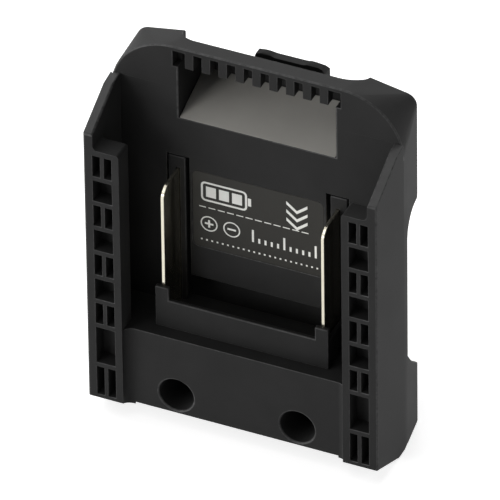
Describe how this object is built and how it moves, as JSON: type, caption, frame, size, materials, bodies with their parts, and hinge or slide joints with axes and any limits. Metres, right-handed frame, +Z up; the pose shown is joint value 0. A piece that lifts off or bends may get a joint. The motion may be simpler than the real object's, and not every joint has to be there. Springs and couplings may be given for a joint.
{
  "type": "tool battery adapter",
  "caption": "Moulded adapter that takes a slide-on power tool battery between two cored rails and plugs into a tool, with terminal blades, a latch pocket and a sprung release button.",
  "frame": {"origin": "middle of the box that holds the part, on the plane under its flat foot", "axes": "+Z is up, towards the end where the battery slides on; -Y is the battery side and +Y the plug side; +X is to the right seen from the battery side"},
  "size_m": [0.072, 0.045, 0.0975],
  "materials": {
    "housing": "fine moulded texture, black glass-filled nylon",
    "inner_moulding": "plain moulded, black nylon",
    "ramp": "smooth moulded, satin",
    "label": "printed polyester film",
    "contact_metal": "stamped, nickel plated",
    "steel": "zinc plated"
  },
  "bodies": {
    "housing": {"front_shell": "housing", "rear_shell": "housing", "terminal_block": "inner_moulding", "latch_retainer": "inner_moulding", "contact_holder": "inner_moulding", "pocket_ramp": "ramp", "label_plate": "label", "blade_left": "contact_metal", "blade_right": "contact_metal", "bus_strap_left": "contact_metal", "bus_strap_right": "contact_metal", "contact_clip_left": "contact_metal", "contact_clip_right": "contact_metal", "block_screws": "steel", "holder_screws": "steel", "retainer_screws": "steel", "lower_screws": "steel", "upper_screws": "steel", "latch_spring_left": "steel", "latch_spring_right": "steel"},
    "latch": {"release_button": "housing", "latch_slide": "inner_moulding", "button_pin": "steel"}
  },
  "joints": [
    {"name": "press_release", "type": "slide", "parent": "housing", "child": "latch", "axis": [0, 0, -1], "range_m": [0, 0.0025], "stiffness_N_per_m": 300, "springref_m": -0.01, "deforming": ["latch_spring_left", "latch_spring_right"]}
  ]
}
